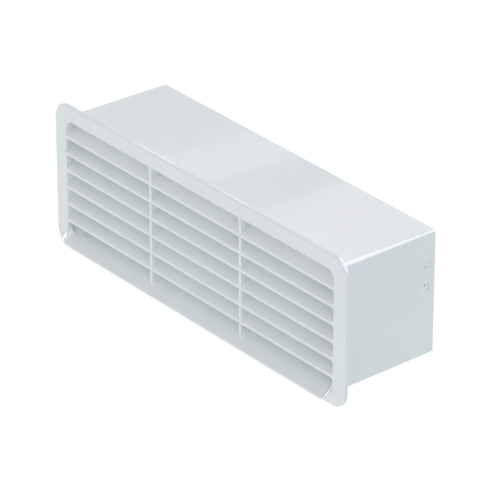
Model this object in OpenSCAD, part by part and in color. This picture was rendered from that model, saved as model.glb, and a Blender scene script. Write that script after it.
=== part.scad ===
// Louvred air brick with a wall sleeve and a swinging back-draught flap.
// X runs along the face, Y runs into the wall, Z is up.
// The origin is the middle of the sleeve, on the plane where the face plate meets the wall.

/* [Wall sleeve] */
// Outer width of the sleeve behind the face plate
sleeve_w = 211.8; // [150:0.1:320]
// Outer height of the sleeve behind the face plate
sleeve_h = 68.4; // [55:0.1:120]
// Length of the sleeve from the face plate to its rear edge
sleeve_depth = 61.8; // [56:0.1:120]
// Wall thickness at the rear edge
wall = 1.5; // [1.2:0.1:2.4]
// Thickness of the side walls behind the face plate
side_wall = 1.2; // [1.1:0.1:1.8]
// Narrowing of the outside from front to rear, each side
draft = 0.8; // [0.4:0.1:1.4]
// Radius of the four long outer edges at the face plate
sleeve_edge_r = 2.4; // [1:0.1:4]
// Radius of the four long outer edges at the rear
rear_edge_r = 1.2; // [0.6:0.1:2.4]

/* [Face plate] */
// Thickness of the face plate
plate_t = 2.2; // [1.8:0.1:3.2]
// How far the plate stands out beyond the sleeve at each side
side_overhang = 8.1; // [5:0.1:20]
// How far the plate stands out above and below the sleeve
top_overhang = 6.3; // [5:0.1:20]
// Corner radius of the plate
plate_r = 9; // [6:0.5:12]
// Rounding of the front edge of the plate
plate_edge_r = 1; // [0.5:0.1:1.6]
// Depth of the rebate in the plate's back that locates the sleeve
seat = 0.3; // [0.1:0.05:0.4]
// Extra width of the mouth beyond the sleeve's throat, each side
mouth_step = 0.2; // [0.1:0.1:0.9]
// Radius of the mouth's corners
mouth_r = 4.6; // [3:0.1:6]
// Rounding of the mouth's front edge
mouth_edge_r = 0.8; // [0.4:0.1:1.2]

/* [Louvre] */
// Height of a blade's front edge
blade_t = 1.9; // [1.4:0.1:2.4]
// Depth of a blade from front to rear
blade_depth = 11; // [10:0.5:12]
// Slope of the blades and of the sill, in degrees
blade_slope = 35; // [30:1:40]
// Bevel along a blade's front edges
blade_bevel = 0.3; // [0.1:0.05:0.5]
// Clear height of the slot above the first blade
top_slot = 8.2; // [6:0.1:10]
// Radius of the fillets where a blade meets the plate
blade_fillet = 2.1; // [1:0.1:2.4]
// Distance between the middles of the two mullions
mullion_pitch = 70.6; // [50:0.2:90]
// Thickness of a mullion
mullion_t = 1.9; // [1.4:0.1:2.4]
// Depth of a mullion's spine behind the blades
spine = 1.2; // [0.8:0.1:1.3]
// Radius of the fillets beside a mullion's foot
foot_r = 1; // [0.6:0.1:3]
// Radius of the fillet in front of a mullion's foot
toe_r = 2.4; // [1:0.2:6]

/* [Drip sill] */
// How far the front face of the sill lies below the cavity's floor
sill_drop = 1.3; // [0.9:0.1:1.6]
// Thickness of the sill
sill_t = 1; // [0.8:0.1:1.3]
// How far the lip stands out in front of the plate
lip_reach = 4; // [2:0.1:5]
// Height above the sill at which its ends are let into the plate
end_rise = 5.8; // [5.6:0.1:8]
// Height above the sill at which the lip's ends leave the plate
lip_rise = 2.8; // [1.5:0.1:5]
// Height of the lip's ends at its tip
tip_rise = 1.4; // [0.5:0.1:2.5]

/* [Back-draught flap] */
// Distance of the pivot from the sleeve's rear edge
pivot_inset = 4.6; // [4:0.1:12]
// Distance of the pivot below the cavity's ceiling
pivot_drop = 16; // [10:0.1:24]
// Diameter of the pivot holes in the sleeve
pivot_hole_d = 4.4; // [4:0.1:6]
// Running clearance of the pins in their holes, on the radius
pin_clearance = 0.05; // [0.02:0.01:0.1]
// Thickness of the flap
flap_t = 1.5; // [1.2:0.1:2]
// Distance of the flap's rear face in front of the pivot axis
flap_offset = 1.5; // [1:0.1:2]
// Clearance between the flap and the sleeve
flap_clearance = 0.6; // [0.4:0.1:1.5]
// Width of the hubs at the ends of the flap
hub_w = 9; // [5:0.5:15]
// Wall of the hub round the pin
hub_wall = 0.8; // [0.6:0.1:1.4]
// Chamfer round the end of a pin
pin_chamfer = 0.2; // [0.1:0.1:0.6]
// Depth of the ramp that lets a pin snap into its hole
pin_ramp = 1.3; // [0.3:0.1:1.3]
// Turn of the ramp below the front of the pin, in degrees
ramp_turn = 45; // [0:5:60]
// Distance of a pin's end behind the outside of the sleeve
pin_recess = 0.3; // [0:0.1:0.7]
// Thickness of the ribs behind the flap
rib_t = 1.2; // [0.8:0.1:2]
// Number of upright ribs behind the flap
rib_count = 3; // [1:1:7]
// Distance of the upright ribs from the flap's lower edge
rib_inset = 5; // [2:0.5:12]
// Distance of the stop windows below the pivot axis
stop_drop = 11.6; // [9:0.1:16]
// Width of a stop window
window_w = 3.1; // [2.8:0.1:4]
// Height of a stop window
window_h = 3.2; // [3.2:0.1:5]
// Height of the drip ledge under a stop window
ledge_h = 1.8; // [1:0.1:2]
// How far the drip ledge stands out from the sleeve
ledge_proud = 0.4; // [0.2:0.1:0.8]
// How much wider than the window the ledge is, each side
ledge_margin = 0.3; // [0.1:0.1:0.8]
// Width of a stop lug
lug_w = 1.2; // [1:0.1:1.5]
// Height of a stop lug
lug_h = 2.3; // [2:0.1:3]
// How far a stop lug reaches into the sleeve
lug_reach = 2.6; // [1.5:0.1:4]
// Clearance between the closed flap and its stop lugs
stop_gap = 0.2; // [0.1:0.05:0.4]

/* [Hidden] */
$fn = 64;
white = "#eef1f2";
flap_white = "#e6eaec";
// Six blades and two mullions, each with a node of its own.
blade_count = 6;
mullion_count = 2;
// How far a cutting shape runs past what it cuts, and how deep joined shapes run into each other.
over = 1;
merge = 0.4;
// Thickness of the slabs between which a tapered form is stretched.
thin = 0.01;

// The cavity is as wide as the throat where it holds the blades, and narrows to cavity_w at the rear.
throat_w = sleeve_w - 2 * side_wall;
cavity_w = sleeve_w - 2 * draft - 2 * wall;
cavity_h = sleeve_h - 2 * draft - 2 * wall;
ceiling_z = cavity_h / 2;
floor_z = -cavity_h / 2;

plate_w = sleeve_w + 2 * side_overhang;
plate_h = sleeve_h + 2 * top_overhang;
face_y = -plate_t;
mouth_hw = throat_w / 2 + mouth_step;

// Sill: its top surface crosses the front of the plate at sill_z.
sill_z = floor_z - sill_drop;
rise = tan(blade_slope);
sill_v = sill_t / cos(blade_slope);
lip_y = face_y - lip_reach;
lip_z = sill_z - lip_reach * rise;
end_top = sill_z + end_rise;

// Blades are spaced evenly from the first one down to the sill.
first_z = ceiling_z - top_slot - blade_t / 2;
pitch = (first_z - (sill_z - blade_t / 2)) / blade_count;
rear_y = face_y + blade_depth;
throat_y = rear_y + spine;

// Flap and its pivot.
pivot_y = sleeve_depth - pivot_inset;
pivot_z = ceiling_z - pivot_drop;
pin_r = pivot_hole_d / 2 - pin_clearance;
hub_r = pin_r + hub_wall;
flap_rear_y = pivot_y - flap_offset;
flap_front = flap_offset + flap_t;
flap_w = cavity_w - 2 * flap_clearance;
// The top corner swings over the pivot, so its radius stays inside the ceiling.
flap_up = sqrt(pow(pivot_drop - flap_clearance, 2) - pow(flap_front, 2));
flap_down = cavity_h - pivot_drop - flap_clearance;
outer_rear_x = cavity_w / 2 + wall;
pivot_face_x = outer_rear_x + draft * pivot_inset / sleeve_depth;
stop_z = pivot_z - stop_drop;
lug_front_y = flap_rear_y + stop_gap;
stop_y = lug_front_y + lug_w / 2;

function blade_z(i) = first_z - i * pitch;
function mullion_x(i) = (i - (mullion_count - 1) / 2) * mullion_pitch;

// A profile drawn as (Y, Z) becomes a bar along X, centred.
module along_x(length) {
    rotate([90, 0, 90]) translate([0, 0, -length / 2]) linear_extrude(length) children();
}

// A profile drawn as (X, Z) becomes a slab from y0 back to y1.
module along_y(y0, y1) {
    translate([0, y1, 0]) rotate([90, 0, 0]) linear_extrude(y1 - y0) children();
}

module rounded(w, h, r) {
    square([w - 2 * r, h], center = true);
    square([w, h - 2 * r], center = true);
    for (x = [-1, 1], y = [-1, 1]) translate([x * (w / 2 - r), y * (h / 2 - r)]) circle(r);
}

module sleeve_outside() {
    hull() {
        along_y(-seat, 0) rounded(sleeve_w, sleeve_h, sleeve_edge_r);
        along_y(sleeve_depth - thin, sleeve_depth)
            rounded(sleeve_w - 2 * draft, sleeve_h - 2 * draft, rear_edge_r);
    }
}

module sleeve_cavity() {
    along_y(-over, throat_y) square([throat_w, cavity_h], center = true);
    hull() {
        along_y(throat_y - thin, throat_y) square([throat_w, cavity_h], center = true);
        along_y(sleeve_depth, sleeve_depth + over) square([cavity_w, cavity_h], center = true);
    }
}

// A block on one side of the sleeve, from x0 out to x1, centred on the stop window's middle.
module side_block(side, x0, x1, z, width, height) {
    translate([side * (x0 + x1) / 2, stop_y, z]) cube([x1 - x0, width, height], center = true);
}

module stop_window(side) {
    side_block(side, cavity_w / 2 - over, sleeve_w / 2 + over, stop_z, window_w, window_h);
}

// A raised ledge under each stop window sheds water away from it.
module window_ledge(side) {
    z = stop_z - window_h / 2 - ledge_h / 2;
    side_block(side, cavity_w / 2 + wall / 2, pivot_face_x + ledge_proud, z,
        window_w + 2 * ledge_margin, ledge_h);
}

// The sloping band of the sill behind the plate, as a (Y, Z) profile.
module sill_band(y0, y1) {
    polygon([[y0, sill_z + (y0 - face_y) * rise], [y1, sill_z + (y1 - face_y) * rise],
             [y1, sill_z + (y1 - face_y) * rise - sill_v],
             [y0, sill_z + (y0 - face_y) * rise - sill_v]]);
}

module wall_sleeve() color(white) difference() {
    union() {
        sleeve_outside();
        for (side = [-1, 1]) window_ledge(side);
    }
    sleeve_cavity();
    along_x(throat_w) sill_band(-seat - over, rear_y);
    translate([0, pivot_y, pivot_z]) rotate([0, 90, 0])
        cylinder(h = sleeve_w + 2 * over, d = pivot_hole_d, center = true);
    for (side = [-1, 1]) stop_window(side);
}

// Edge of the plate as a (distance outwards, depth) profile with a rounded front corner.
module plate_edge() {
    difference() {
        square([plate_r, plate_t]);
        translate([plate_r - plate_edge_r, plate_t - plate_edge_r]) difference() {
            square([plate_edge_r + over, plate_edge_r + over]);
            circle(plate_edge_r);
        }
    }
}

module plate_blank() {
    long = plate_w - 2 * plate_r;
    tall = plate_h - 2 * plate_r;
    rotate([90, 0, 0]) {
        linear_extrude(plate_t) square([long, tall], center = true);
        for (side = [0, 1]) mirror([side, 0, 0])
            translate([long / 2, tall / 2, 0]) rotate([90, 0, 0]) linear_extrude(tall) plate_edge();
        for (side = [0, 1]) mirror([0, side, 0])
            translate([-long / 2, tall / 2, 0]) rotate([90, 0, 90]) linear_extrude(long) plate_edge();
        for (x = [0, 1], y = [0, 1]) mirror([x, 0, 0]) mirror([0, y, 0])
            translate([long / 2, tall / 2, 0]) rotate_extrude(angle = 90) plate_edge();
    }
}

// What the rounding of the mouth's edge takes away, as a (distance outwards, depth) profile.
module mouth_rounding() {
    r = mouth_edge_r;
    difference() {
        translate([-over, plate_t - r]) square([r + over, r + over]);
        translate([r, plate_t - r]) circle(r);
    }
}

module mouth() {
    top = ceiling_z;
    corner_x = mouth_hw - mouth_r;
    corner_z = top - mouth_r;
    rotate([90, 0, 0]) {
        translate([0, 0, -over]) linear_extrude(plate_t + 2 * over) {
            translate([-mouth_hw, end_top]) square([2 * mouth_hw, corner_z - end_top]);
            translate([-corner_x, end_top]) square([2 * corner_x, top - end_top]);
            for (side = [-1, 1]) translate([side * corner_x, corner_z]) circle(mouth_r);
        }
        translate([-corner_x, top, 0]) rotate([90, 0, 90]) linear_extrude(2 * corner_x) mouth_rounding();
        for (side = [0, 1]) mirror([side, 0, 0]) {
            translate([mouth_hw, corner_z, 0]) rotate([90, 0, 0])
                linear_extrude(corner_z - end_top) mouth_rounding();
            translate([corner_x, corner_z, 0]) rotate_extrude(angle = 90)
                translate([mouth_r, 0]) mouth_rounding();
        }
    }
}

// Outline of the scoop that the sill makes in front, grown by a thickness.
module scoop_outline(grow) {
    top = 3 * end_rise;
    r = mouth_r;
    translate([-mouth_hw - grow, r]) square([2 * (mouth_hw + grow), top - r]);
    translate([-mouth_hw + r, -grow]) square([2 * (mouth_hw - r), top + grow]);
    for (side = [-1, 1]) translate([side * (mouth_hw - r), r]) circle(r + grow);
}

module scoop(grow) {
    reach = 3 * lip_reach;
    translate([0, face_y, sill_z]) rotate([90 + blade_slope, 0, 0])
        translate([0, 0, -reach]) linear_extrude(2 * reach) scoop_outline(grow);
}

// Side view of the space that the lip may fill: upright tip, and ends that fall towards it.
module lip_side_view() {
    bottom = lip_z - 2 * sill_v;
    polygon([[lip_y, bottom], [lip_y, lip_z + tip_rise], [face_y, sill_z + lip_rise],
             [face_y, end_top], [-seat, end_top], [-seat, bottom]]);
}

// The last stretch of a blade, from the sleeve's throat to the edge of the mouth.
module blade_stub(z) {
    length = mouth_step + mouth_edge_r;
    translate([throat_w / 2 + length / 2, 0, 0]) intersection() {
        along_x(length) blade_profile(z);
        along_x(length) translate([face_y, -plate_h / 2]) square([plate_t, plate_h]);
    }
}

// Fillets that join a blade's end to the plate.
module blade_end(z) {
    x0 = throat_w / 2;
    x1 = mouth_hw + mouth_edge_r;
    f = blade_fillet;
    arc_x = max(x1 - f, x0);
    along_y(face_y, 0) {
        translate([x0, z - blade_t / 2]) square([x1 - x0 + merge, blade_t]);
        difference() {
            translate([arc_x, z - blade_t / 2 - f]) square([x1 - arc_x + merge, blade_t + 2 * f]);
            for (side = [-1, 1]) translate([x1 - f, z + side * (blade_t / 2 + f)]) circle(f);
        }
    }
}

module face_plate() color(white) difference() {
    union() {
        difference() {
            plate_blank();
            mouth();
        }
        for (i = [0:blade_count - 1], side = [0, 1]) mirror([side, 0, 0]) {
            blade_end(blade_z(i));
            blade_stub(blade_z(i));
        }
    }
    along_y(-seat, over) rounded(sleeve_w, sleeve_h, sleeve_edge_r);
    intersection() {
        scoop(sill_t);
        along_x(plate_w) translate([face_y - over, -plate_h / 2])
            square([plate_t - seat + over, plate_h / 2 + end_top]);
    }
}

module blade_profile(z) {
    b = blade_bevel;
    h = blade_t / 2;
    up = blade_depth * rise;
    translate([face_y, z])
        polygon([[b, -h], [0, -h + b], [0, h - b], [b, h + b * rise], [blade_depth, h + up],
                 [blade_depth, -h + up], [b, -h + b * rise]]);
}

module louvre_blade(i) color(white) along_x(throat_w) blade_profile(blade_z(i));

// The fillet in front of a mullion's foot, tangent to its front edge and to the sill.
module toe_side_view() {
    run = toe_r * tan((90 - blade_slope) / 2);
    difference() {
        polygon([[face_y, sill_z], [face_y, sill_z + run],
                 [face_y - run * cos(blade_slope), sill_z - run * sin(blade_slope)]]);
        translate([face_y - toe_r, sill_z + run]) circle(toe_r);
    }
}

// Side view of a mullion: it fills the mouth's rounding at the top and stands on the sill.
module mullion_side_view() {
    back_y = rear_y + spine;
    r = mouth_edge_r;
    polygon([[face_y, sill_z], [rear_y, sill_z + blade_depth * rise], [rear_y, floor_z],
             [back_y, floor_z], [back_y, ceiling_z], [face_y, ceiling_z]]);
    difference() {
        translate([face_y, ceiling_z - over]) square([r, r + over]);
        translate([face_y + r, ceiling_z + r]) circle(r);
    }
    toe_side_view();
}

// Fillets on both sides of the foot, running up the slope of the sill.
module foot_fillets() {
    run = blade_depth / cos(blade_slope);
    translate([0, face_y, sill_z]) rotate([90 + blade_slope, 0, 0])
        translate([0, 0, -run]) linear_extrude(run + toe_r)
            for (side = [0, 1]) mirror([side, 0]) difference() {
                square([mullion_t / 2 + foot_r, foot_r]);
                translate([mullion_t / 2 + foot_r, foot_r]) circle(foot_r);
            }
}

module mullion(i) color(white) translate([mullion_x(i), 0, 0]) difference() {
    union() {
        along_x(mullion_t) mullion_side_view();
        intersection() {
            along_x(mullion_t + 2 * foot_r) mullion_side_view();
            foot_fillets();
        }
    }
    for (k = [0:blade_count - 1]) along_x(mullion_t + over) blade_profile(blade_z(k));
}

module drip_sill() color(white) {
    intersection() {
        difference() {
            scoop(sill_t);
            scoop(0);
        }
        along_x(plate_w) lip_side_view();
    }
    along_x(throat_w) sill_band(-seat, rear_y);
}

// A lug hangs from the top edge of each stop window and reaches into the sleeve.
module flap_stop(side) color(white) {
    z = stop_z + window_h / 2 - lug_h / 2;
    side_block(side, cavity_w / 2 - lug_reach, outer_rear_x, z, lug_w, lug_h);
}

// Pin from the hub out into the wall of the sleeve, with a ramp on the side that goes in first.
module pivot_pin() {
    start = flap_w / 2 - hub_w / 2;
    end = pivot_face_x - pin_recess;
    run = pin_r + over;
    difference() {
        rotate([0, 90, 0]) rotate_extrude()
            polygon([[0, start], [pin_r, start], [pin_r, end - pin_chamfer],
                     [pin_r - pin_chamfer, end], [0, end]]);
        rotate([ramp_turn, 0, 0]) translate([0, 0, -run]) linear_extrude(2 * run)
            polygon([[end, 0], [end + over, 0], [end + over, -run],
                     [end - pin_ramp * run / pin_r, -run]]);
    }
}

// Hub at one end of the flap, flat where it is joined to the flap's rear face, with its pin.
module flap_hub(side) color(flap_white) translate([0, pivot_y, pivot_z]) mirror([side, 0, 0]) {
    inner = flap_w / 2 - hub_w;
    reach = hub_r + over;
    difference() {
        union() {
            translate([inner, 0, 0]) rotate([0, 90, 0]) cylinder(h = hub_w, r = hub_r);
            pivot_pin();
        }
        translate([inner - over, -reach, -reach]) cube([hub_w + over, reach - flap_offset, 2 * reach]);
    }
}

// Ribs on the rear face: one along the pivot axis between the hubs, and upright ones below it.
module flap_ribs() {
    rib_y = -flap_offset - merge;
    rib_d = flap_offset + merge;
    length = flap_down - rib_inset;
    span = flap_w - 2 * hub_w;
    translate([-span / 2, rib_y, -rib_t / 2]) cube([span, rib_d, rib_t]);
    for (i = [1:rib_count])
        translate([-flap_w / 2 + flap_w * i / (rib_count + 1) - rib_t / 2, rib_y, -length])
            cube([rib_t, rib_d, length]);
}

module draught_flap() color(flap_white) translate([0, pivot_y, pivot_z]) {
    translate([-flap_w / 2, -flap_front, -flap_down]) cube([flap_w, flap_t, flap_down + flap_up]);
    flap_ribs();
}

wall_sleeve();
face_plate();
louvre_blade(0);  // louvre_blade_1
louvre_blade(1);  // louvre_blade_2
louvre_blade(2);  // louvre_blade_3
louvre_blade(3);  // louvre_blade_4
louvre_blade(4);  // louvre_blade_5
louvre_blade(5);  // louvre_blade_6
mullion(0);  // mullion_left
mullion(1);  // mullion_right
drip_sill();
flap_stop(-1);  // flap_stop_left
flap_stop(1);  // flap_stop_right
draught_flap();
flap_hub(1);  // flap_hub_left
flap_hub(0);  // flap_hub_right
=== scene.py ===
import math

import bmesh
import bpy
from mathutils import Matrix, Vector


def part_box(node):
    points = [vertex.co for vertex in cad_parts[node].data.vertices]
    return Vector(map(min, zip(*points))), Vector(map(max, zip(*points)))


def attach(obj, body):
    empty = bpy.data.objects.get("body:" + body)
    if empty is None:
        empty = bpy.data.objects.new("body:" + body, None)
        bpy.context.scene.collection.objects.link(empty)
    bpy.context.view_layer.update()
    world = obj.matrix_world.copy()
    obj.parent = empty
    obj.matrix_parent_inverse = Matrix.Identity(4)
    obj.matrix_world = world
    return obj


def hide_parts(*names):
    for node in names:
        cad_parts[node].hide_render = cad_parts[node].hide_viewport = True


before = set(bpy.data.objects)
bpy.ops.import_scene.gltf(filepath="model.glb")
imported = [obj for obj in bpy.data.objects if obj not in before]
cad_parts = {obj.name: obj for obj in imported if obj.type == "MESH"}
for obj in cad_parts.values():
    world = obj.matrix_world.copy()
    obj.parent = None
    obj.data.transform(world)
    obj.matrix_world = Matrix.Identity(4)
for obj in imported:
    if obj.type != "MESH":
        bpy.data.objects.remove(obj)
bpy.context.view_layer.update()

MM = 0.001
SIDES = ("left", "right")

# Camera, as fitted to the photograph: its place in millimetres, the direction in which it stands
# from what it looks at, in degrees, its focal length and the picture's width, in pixels, and what it
# sees, from and to, in metres.
CAMERA_PLACE = (1289.3, -1016.4, 862.2)
CAMERA_AZIMUTH = 51.03
CAMERA_ELEVATION = 27.56
FOCAL_PX = 3775
IMAGE_PX = 480
CAMERA_SEES = (0.05, 50)
# Width of the camera's sensor, in millimetres.
SENSOR = 36.0

# Front of the plate, top of the sleeve and lowest point of the object, in millimetres.
FACE_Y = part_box("face_plate")[0].y / MM
TOP_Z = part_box("wall_sleeve")[1].z / MM
BOTTOM_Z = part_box("face_plate")[0].z / MM

# Colour and roughness of the two mouldings, and the nodes of the flap.
BRICK_COLOUR = (0.882, 0.908, 0.92)
BRICK_ROUGHNESS = 0.13
FLAP_COLOUR = (0.86, 0.885, 0.895)
FLAP_ROUGHNESS = 0.2
FLAP_NODES = ("draught_flap", "flap_hub_left", "flap_hub_right")

# How far tint and roughness swing to both sides over a moulding, the lightest tint, and the
# refractive index of the plastic.
TINT_SWING = 0.015
ROUGHNESS_SWING = 0.03
LIGHTEST = 0.95
PLASTIC_IOR = 1.5

# Relief of a moulded surface: its strength, and its height in millimetres.
WAVE_STRENGTH = 0.05
WAVE_HEIGHT = 0.4
GRAIN_STRENGTH = 0.04
GRAIN_HEIGHT = 0.05

# How finely each noise varies, in features per metre, and the range of most of its values.
TINT_FEATURES = 45
ROUGHNESS_FEATURES = 120
WAVE_FEATURES = 60
GRAIN_FEATURES = 1600
FLOOR_FEATURES = 8
NOISE_RANGE = (0.3, 0.7)

# Points that lie closer than this, in millimetres, become one, and so do faces that turn by less
# than this, in degrees.
JOINED_BELOW = 0.002
FLAT_BELOW = 0.5
# Edges that turn by more than this, in degrees, are rounded in this many steps. What turns by more
# than the second angle after that is shaded as an edge.
ROUNDED_ABOVE = 28
ROUNDING_STEPS = 3
SHARP_ABOVE = 35
# The sleeve is clear of the plate from here on, along Y in millimetres.
SLEEVE_CLEAR_Y = 2
# A point stands before the plate's front when it is further out than this, in millimetres.
BEFORE_FACE = 0.01
# A point counts as in the plate's front when it lies less than this behind it, in millimetres.
IN_FACE = 0.05

# Light of the room, as radiance in red, green and blue, what it loses towards both sides, and
# what it gains towards +Y and +Z.
ROOM_LIGHT = (0.943, 0.92, 0.904)
ROOM_SIDES = (0.42, 0.31, 0.256)
ROOM_ALONG_Y = (0.01, 0.01, 0.01)
ROOM_ALONG_Z = (-0.04, -0.035, -0.035)
# More light comes from high behind and low in front than from high in front and low behind.
ROOM_TWIST = 0.28
# More light comes from the right in front and the left behind than from the other two corners.
ROOM_SWING = 0.3

# The floor lies this far below the object and reaches this far to each side, in millimetres.
FLOOR_DROP = 400
FLOOR_HALF = 3000
# Darkest and lightest grey of the floor, and the radiance that lifts it to white.
FLOOR_GREYS = (0.86, 0.9)
FLOOR_LIFT = 0.4

# A lamp without a tint, and one whose beam isn't narrowed, in degrees.
NEUTRAL = (1, 1, 1)
FULL_SPREAD = 180


def direction(azimuth_deg, elevation_deg):
    """Unit vector from the object towards a place at that azimuth and elevation."""
    azimuth = math.radians(azimuth_deg)
    elevation = math.radians(elevation_deg)
    level = math.cos(elevation)
    return Vector((math.sin(azimuth) * level, -math.cos(azimuth) * level, math.sin(elevation)))


def make_camera():
    data = bpy.data.cameras.new("camera")
    data.sensor_width = SENSOR
    data.lens = FOCAL_PX * SENSOR / IMAGE_PX
    data.clip_start, data.clip_end = CAMERA_SEES
    cam = bpy.data.objects.new("camera", data)
    cam.rotation_mode = "QUATERNION"
    cam.rotation_quaternion = (-direction(CAMERA_AZIMUTH, CAMERA_ELEVATION)).to_track_quat("-Z", "Y")
    cam.location = Vector(CAMERA_PLACE) * MM
    bpy.context.scene.collection.objects.link(cam)
    bpy.context.scene.camera = cam


class Nodes:
    """Short way to build a shader: values are set on sockets, and sockets are linked."""

    def __init__(self, tree):
        self.tree = tree

    def add(self, kind, **inputs):
        node = self.tree.nodes.new(kind)
        for name, value in inputs.items():
            self.put(node.inputs[name.replace("_", " ")], value)
        return node

    def put(self, socket, value):
        if isinstance(value, bpy.types.NodeSocket):
            self.tree.links.new(value, socket)
        else:
            socket.default_value = value

    def math(self, operation, a, b=0):
        node = self.tree.nodes.new("ShaderNodeMath")
        node.operation = operation
        self.put(node.inputs[0], a)
        self.put(node.inputs[1], b)
        return node.outputs["Value"]

    def product(self, a, b):
        return self.math("MULTIPLY", a, b)

    def total(self, first, *others):
        for other in others:
            first = self.math("ADD", first, other)
        return first


def noise(n, coord, features, detail):
    return n.add("ShaderNodeTexNoise", Vector=coord, Scale=features, Detail=detail).outputs["Fac"]


def spread(n, value, low, high):
    """A noise, stretched and cut off so that it goes from low to high."""
    start, end = NOISE_RANGE
    stretch = n.add("ShaderNodeMapRange", Value=value, From_Min=start, From_Max=end, To_Min=low, To_Max=high)
    return stretch.outputs["Result"]


def cloudy_tint(n, coord, colour):
    tint = n.add("ShaderNodeMix", Factor=spread(n, noise(n, coord, TINT_FEATURES, detail=2), 0.0, 1.0))
    tint.data_type = "RGBA"
    n.put(tint.inputs["A"], (*[c * (1 - TINT_SWING) for c in colour], 1))
    n.put(tint.inputs["B"], (*[min(c * (1 + TINT_SWING), LIGHTEST) for c in colour], 1))
    return tint.outputs["Result"]


def relief(n, coord):
    """Normal of a surface with slow waves under a fine grain."""
    wave = n.add("ShaderNodeBump", Strength=WAVE_STRENGTH, Distance=WAVE_HEIGHT * MM,
                 Height=noise(n, coord, WAVE_FEATURES, detail=1))
    grain = n.add("ShaderNodeBump", Strength=GRAIN_STRENGTH, Distance=GRAIN_HEIGHT * MM,
                  Height=noise(n, coord, GRAIN_FEATURES, detail=2))
    n.put(grain.inputs["Normal"], wave.outputs["Normal"])
    return grain.outputs["Normal"]


def moulded_upvc(name, colour, roughness):
    """Glossy moulded plastic with faint cloudiness, uneven gloss, and a moulded surface's relief."""
    mat = bpy.data.materials.new(name)
    mat.use_nodes = True
    n = Nodes(mat.node_tree)
    shader = mat.node_tree.nodes["Principled BSDF"]
    coord = n.add("ShaderNodeTexCoord").outputs["Object"]
    uneven = noise(n, coord, ROUGHNESS_FEATURES, detail=3)
    smoothest = roughness - ROUGHNESS_SWING
    roughest = roughness + ROUGHNESS_SWING
    n.put(shader.inputs["Base Color"], cloudy_tint(n, coord, colour))
    n.put(shader.inputs["Roughness"], spread(n, uneven, smoothest, roughest))
    n.put(shader.inputs["Normal"], relief(n, coord))
    shader.inputs["IOR"].default_value = PLASTIC_IOR
    return mat


def paint_solids(brick_material, flap_material):
    """Every solid gets the material of its moulding."""
    for name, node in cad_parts.items():
        node.data.materials.clear()
        node.data.materials.append(flap_material if name in FLAP_NODES else brick_material)


def everywhere(place):
    return True


def behind_plate(place):
    """The sleeve, without the seam between it and the plate."""
    return place.y > SLEEVE_CLEAR_Y


def before_plate(place):
    """The part of the sill that stands out in front of the plate."""
    return place.y < FACE_Y - BEFORE_FACE


def in_the_face(place):
    """The front edges of what ends in the plate's front."""
    return place.y < FACE_Y + IN_FACE


def rounded_mesh(node, width, where):
    """A copy of a node's mesh whose edges, where both ends lie in the given region, are rounded."""
    bm = bmesh.new()
    bm.from_mesh(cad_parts[node].data)
    bmesh.ops.remove_doubles(bm, verts=bm.verts, dist=JOINED_BELOW * MM)
    bmesh.ops.dissolve_limit(bm, angle_limit=math.radians(FLAT_BELOW), verts=bm.verts, edges=bm.edges)
    edges = [e for e in bm.edges
             if e.is_manifold and math.degrees(e.calc_face_angle(0)) > ROUNDED_ABOVE
             and all(where(v.co / MM) for v in e.verts)]
    bmesh.ops.bevel(bm, geom=edges, offset=width * MM, offset_type="OFFSET", segments=ROUNDING_STEPS,
                    profile=0.5, affect="EDGES", clamp_overlap=False)
    bmesh.ops.recalc_face_normals(bm, faces=bm.faces)
    if bm.calc_volume(signed=True) < 0:
        bmesh.ops.reverse_faces(bm, faces=bm.faces)
    for face in bm.faces:
        face.smooth = True
    mesh = bpy.data.meshes.new(node + "_form")
    bm.to_mesh(mesh)
    bm.free()
    mesh.set_sharp_from_angle(angle=math.radians(SHARP_ABOVE))
    return mesh


def softened(node, body, slot, material, width, where=everywhere):
    """A piece that stands for a node and has rounded edges, which are this wide in millimetres."""
    mesh = rounded_mesh(node, width, where)
    mesh.materials.append(material)
    piece = bpy.data.objects.new(node + "_form", mesh)
    bpy.context.scene.collection.objects.link(piece)
    normals = piece.modifiers.new("even_faces", "WEIGHTED_NORMAL")
    normals.keep_sharp = True
    normals.mode = "FACE_AREA"
    normals.weight = 100
    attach(piece, body)
    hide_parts(node)


def dress_brick(material):
    """The fixed moulding. Its plate needs no rounding of its own, and the solid shows."""
    brick = {"body": "brick", "slot": "white_upvc", "material": material}
    softened("wall_sleeve", **brick, width=0.25, where=behind_plate)
    softened("drip_sill", **brick, width=0.3, where=before_plate)
    for blade in sorted(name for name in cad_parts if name.startswith("louvre_blade_")):
        softened(blade, **brick, width=0.12)
    for side in SIDES:
        softened(f"mullion_{side}", **brick, width=0.3, where=in_the_face)
        softened(f"flap_stop_{side}", **brick, width=0.2)


def dress_flap(material):
    """The moulding that swings."""
    flap = {"body": "flap", "slot": "flap_upvc", "material": material}
    softened("draught_flap", **flap, width=0.2)
    for side in SIDES:
        softened(f"flap_hub_{side}", **flap, width=0.1)


def seen_directly(n):
    """One for rays from the camera, mirror-like reflections and rays through clear matter, else zero."""
    path = n.add("ShaderNodeLightPath")
    sharp = n.math("MAXIMUM", path.outputs["Is Glossy Ray"], path.outputs["Is Transmission Ray"])
    return n.math("MAXIMUM", path.outputs["Is Camera Ray"], sharp)


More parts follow.
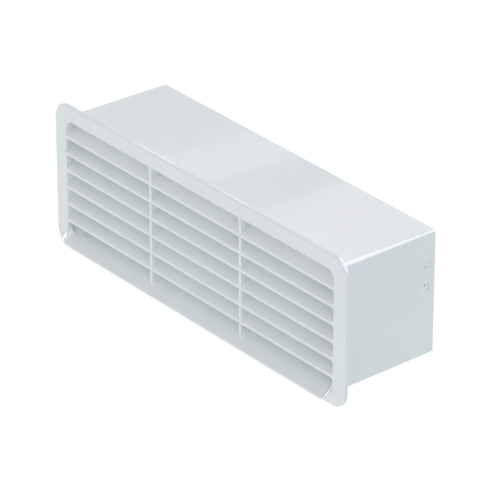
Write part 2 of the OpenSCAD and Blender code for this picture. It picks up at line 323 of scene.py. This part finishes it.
def room_colour(n):
    """Radiance of the room, which changes smoothly with the direction."""
    look = n.add("ShaderNodeSeparateXYZ", Vector=n.add("ShaderNodeTexCoord").outputs["Generated"])
    x, y, z = (look.outputs[axis] for axis in "XYZ")
    twist = n.product(n.product(y, z), ROOM_TWIST)
    swing = n.product(n.product(x, y), -ROOM_SWING)
    turned = n.total(twist, swing)
    sideways = n.math("ABSOLUTE", x)
    channels = {}
    for channel, level, sides, along_y, along_z in zip(
            ("Red", "Green", "Blue"), ROOM_LIGHT, ROOM_SIDES, ROOM_ALONG_Y, ROOM_ALONG_Z):
        slopes = n.total(n.product(sideways, -sides), n.product(y, along_y), n.product(z, along_z))
        channels[channel] = n.total(slopes, turned, level)
    return n.add("ShaderNodeCombineColor", **channels).outputs["Color"]


def make_world():
    """White where it is seen directly, and a soft room that lights the object."""
    world = bpy.data.worlds.new("studio")
    bpy.context.scene.world = world
    world.use_nodes = True
    world.node_tree.nodes.clear()
    n = Nodes(world.node_tree)
    room = n.add("ShaderNodeBackground", Color=room_colour(n), Strength=1.0)
    white = n.add("ShaderNodeBackground", Color=(1, 1, 1, 1), Strength=1.0)
    mix = n.add("ShaderNodeMixShader", Fac=seen_directly(n))
    n.put(mix.inputs[1], room.outputs["Background"])
    n.put(mix.inputs[2], white.outputs["Background"])
    n.add("ShaderNodeOutputWorld", Surface=mix.outputs["Shader"])


def pale_floor():
    """Pale matt grey that is lifted to white where it is seen directly."""
    mat = bpy.data.materials.new("pale_floor")
    mat.use_nodes = True
    mat.node_tree.nodes.clear()
    n = Nodes(mat.node_tree)
    coord = n.add("ShaderNodeTexCoord").outputs["Object"]
    grey = spread(n, noise(n, coord, FLOOR_FEATURES, detail=2), *FLOOR_GREYS)
    pale = n.add("ShaderNodeCombineColor", Red=grey, Green=grey, Blue=grey)
    matt = n.add("ShaderNodeBsdfDiffuse", Color=pale.outputs["Color"])
    lift = n.add("ShaderNodeEmission", Strength=n.product(seen_directly(n), FLOOR_LIFT))
    both = n.add("ShaderNodeAddShader")
    n.put(both.inputs[0], matt.outputs["BSDF"])
    n.put(both.inputs[1], lift.outputs["Emission"])
    n.add("ShaderNodeOutputMaterial", Surface=both.outputs["Shader"])
    return mat


def make_floor():
    """A square well below the object, which shows its soft shadow but neither shades nor tints it."""
    half = FLOOR_HALF * MM
    z = (BOTTOM_Z - FLOOR_DROP) * MM
    corners = [(-half, -half, z), (half, -half, z), (half, half, z), (-half, half, z)]
    mesh = bpy.data.meshes.new("floor")
    mesh.from_pydata(corners, [], [(0, 1, 2, 3)])
    mesh.materials.append(pale_floor())
    floor = bpy.data.objects.new("floor", mesh)
    bpy.context.scene.collection.objects.link(floor)
    floor.visible_diffuse = False
    floor.visible_shadow = False


def card(name, place, target, size, radiance, colour=NEUTRAL, spread_deg=FULL_SPREAD, diffuse=False):
    """A softbox at a place, turned to a target. Unless it is diffuse, it shows only in reflections.
    Places and sizes are in millimetres."""
    data = bpy.data.lights.new(name, "AREA")
    data.shape = "RECTANGLE"
    data.size = size[0] * MM
    data.size_y = size[1] * MM
    data.energy = radiance * math.pi * data.size * data.size_y
    if spread_deg < FULL_SPREAD:
        # A narrow spread brightens the middle of the beam, so the power falls to keep its radiance.
        half = math.radians(spread_deg) / 2
        data.spread = 2 * half
        data.energy *= (math.tan(half) - half) / math.tan(half)
    data.color = colour
    lamp = bpy.data.objects.new(name, data)
    lamp.location = Vector(place) * MM
    lamp.rotation_mode = "QUATERNION"
    lamp.rotation_quaternion = (Vector(target) - Vector(place)).to_track_quat("-Z", "Y")
    lamp.visible_camera = False
    lamp.visible_diffuse = diffuse
    bpy.context.scene.collection.objects.link(lamp)


def edge_card(name, edge, away, distance, size, radiance, spread_deg, colour=NEUTRAL):
    """A softbox that the camera sees mirrored in an edge: away is the mirrored direction."""
    place = Vector(edge) + Vector(away).normalized() * distance
    card(name, place, edge, size, radiance, colour, spread_deg)


def light_sleeve_top():
    """Soft bands across the top of the sleeve, mirrored from cards that hang behind it."""
    y = 110
    height = 60
    depth = 90
    for name, x0, x1, radiance in (("band_left", -133, -97, 0.7), ("band_right", -55, 30, 0.85)):
        middle = (x0 + x1) / 2
        card(name, place=(middle, y, TOP_Z + height), target=(middle, y, TOP_Z), size=(x1 - x0, depth),
             radiance=radiance, colour=(1, 0.75, 0.8))


def light_sleeve_edge():
    """The bright line along the sleeve's upper right edge."""
    edge_card("sleeve_edge", edge=(105, 30, 34), away=(0.463, 0.557, 0.689), distance=700,
              size=(1300, 1300), radiance=6, spread_deg=140, colour=(1, 0.98, 0.95))


def light_plate_edge():
    """Two streaks along the plate's upper edge, and the arc round its upper right corner."""
    for name, x0, x1 in (("streak_left", -59, -18), ("streak_right", 12, 44)):
        edge_card(name, edge=((x0 + x1) / 2, -2, 40), away=(-0.689, 0.4, 0.6), distance=60,
                  size=(x1 - x0, 30), radiance=1.6, spread_deg=60)
    edge_card("plate_corner", edge=(112, -2, 36), away=(0.5, -0.43, 0.74), distance=700,
              size=(800, 800), radiance=4, spread_deg=60, colour=(1, 0.98, 0.96))


def light_lip_ends():
    """The streak on each end of the sill's lip."""
    for name, x, radiance in (("lip_end_left", -105.4, 30), ("lip_end_right", 105.4, 9)):
        edge_card(name, edge=(x, -4.7, -33), away=(-0.689, -0.48, 0.53), distance=25,
                  size=(7, 7), radiance=radiance, spread_deg=50)


def light_duct():
    """The bluish light that comes through the louvre from inside the sleeve."""
    card("duct_light", place=(0, 30, 0), target=(0, 0, 0), size=(190, 55), radiance=0.45,
         colour=(0.8, 1, 1.1), diffuse=True)


make_camera()
white_upvc = moulded_upvc("white_upvc", BRICK_COLOUR, BRICK_ROUGHNESS)
flap_upvc = moulded_upvc("flap_upvc", FLAP_COLOUR, FLAP_ROUGHNESS)
paint_solids(white_upvc, flap_upvc)
dress_brick(white_upvc)
dress_flap(flap_upvc)
make_world()
make_floor()
light_sleeve_top()
light_sleeve_edge()
light_plate_edge()
light_lip_ends()
light_duct()

bpy.context.scene.view_settings.view_transform = "Standard"
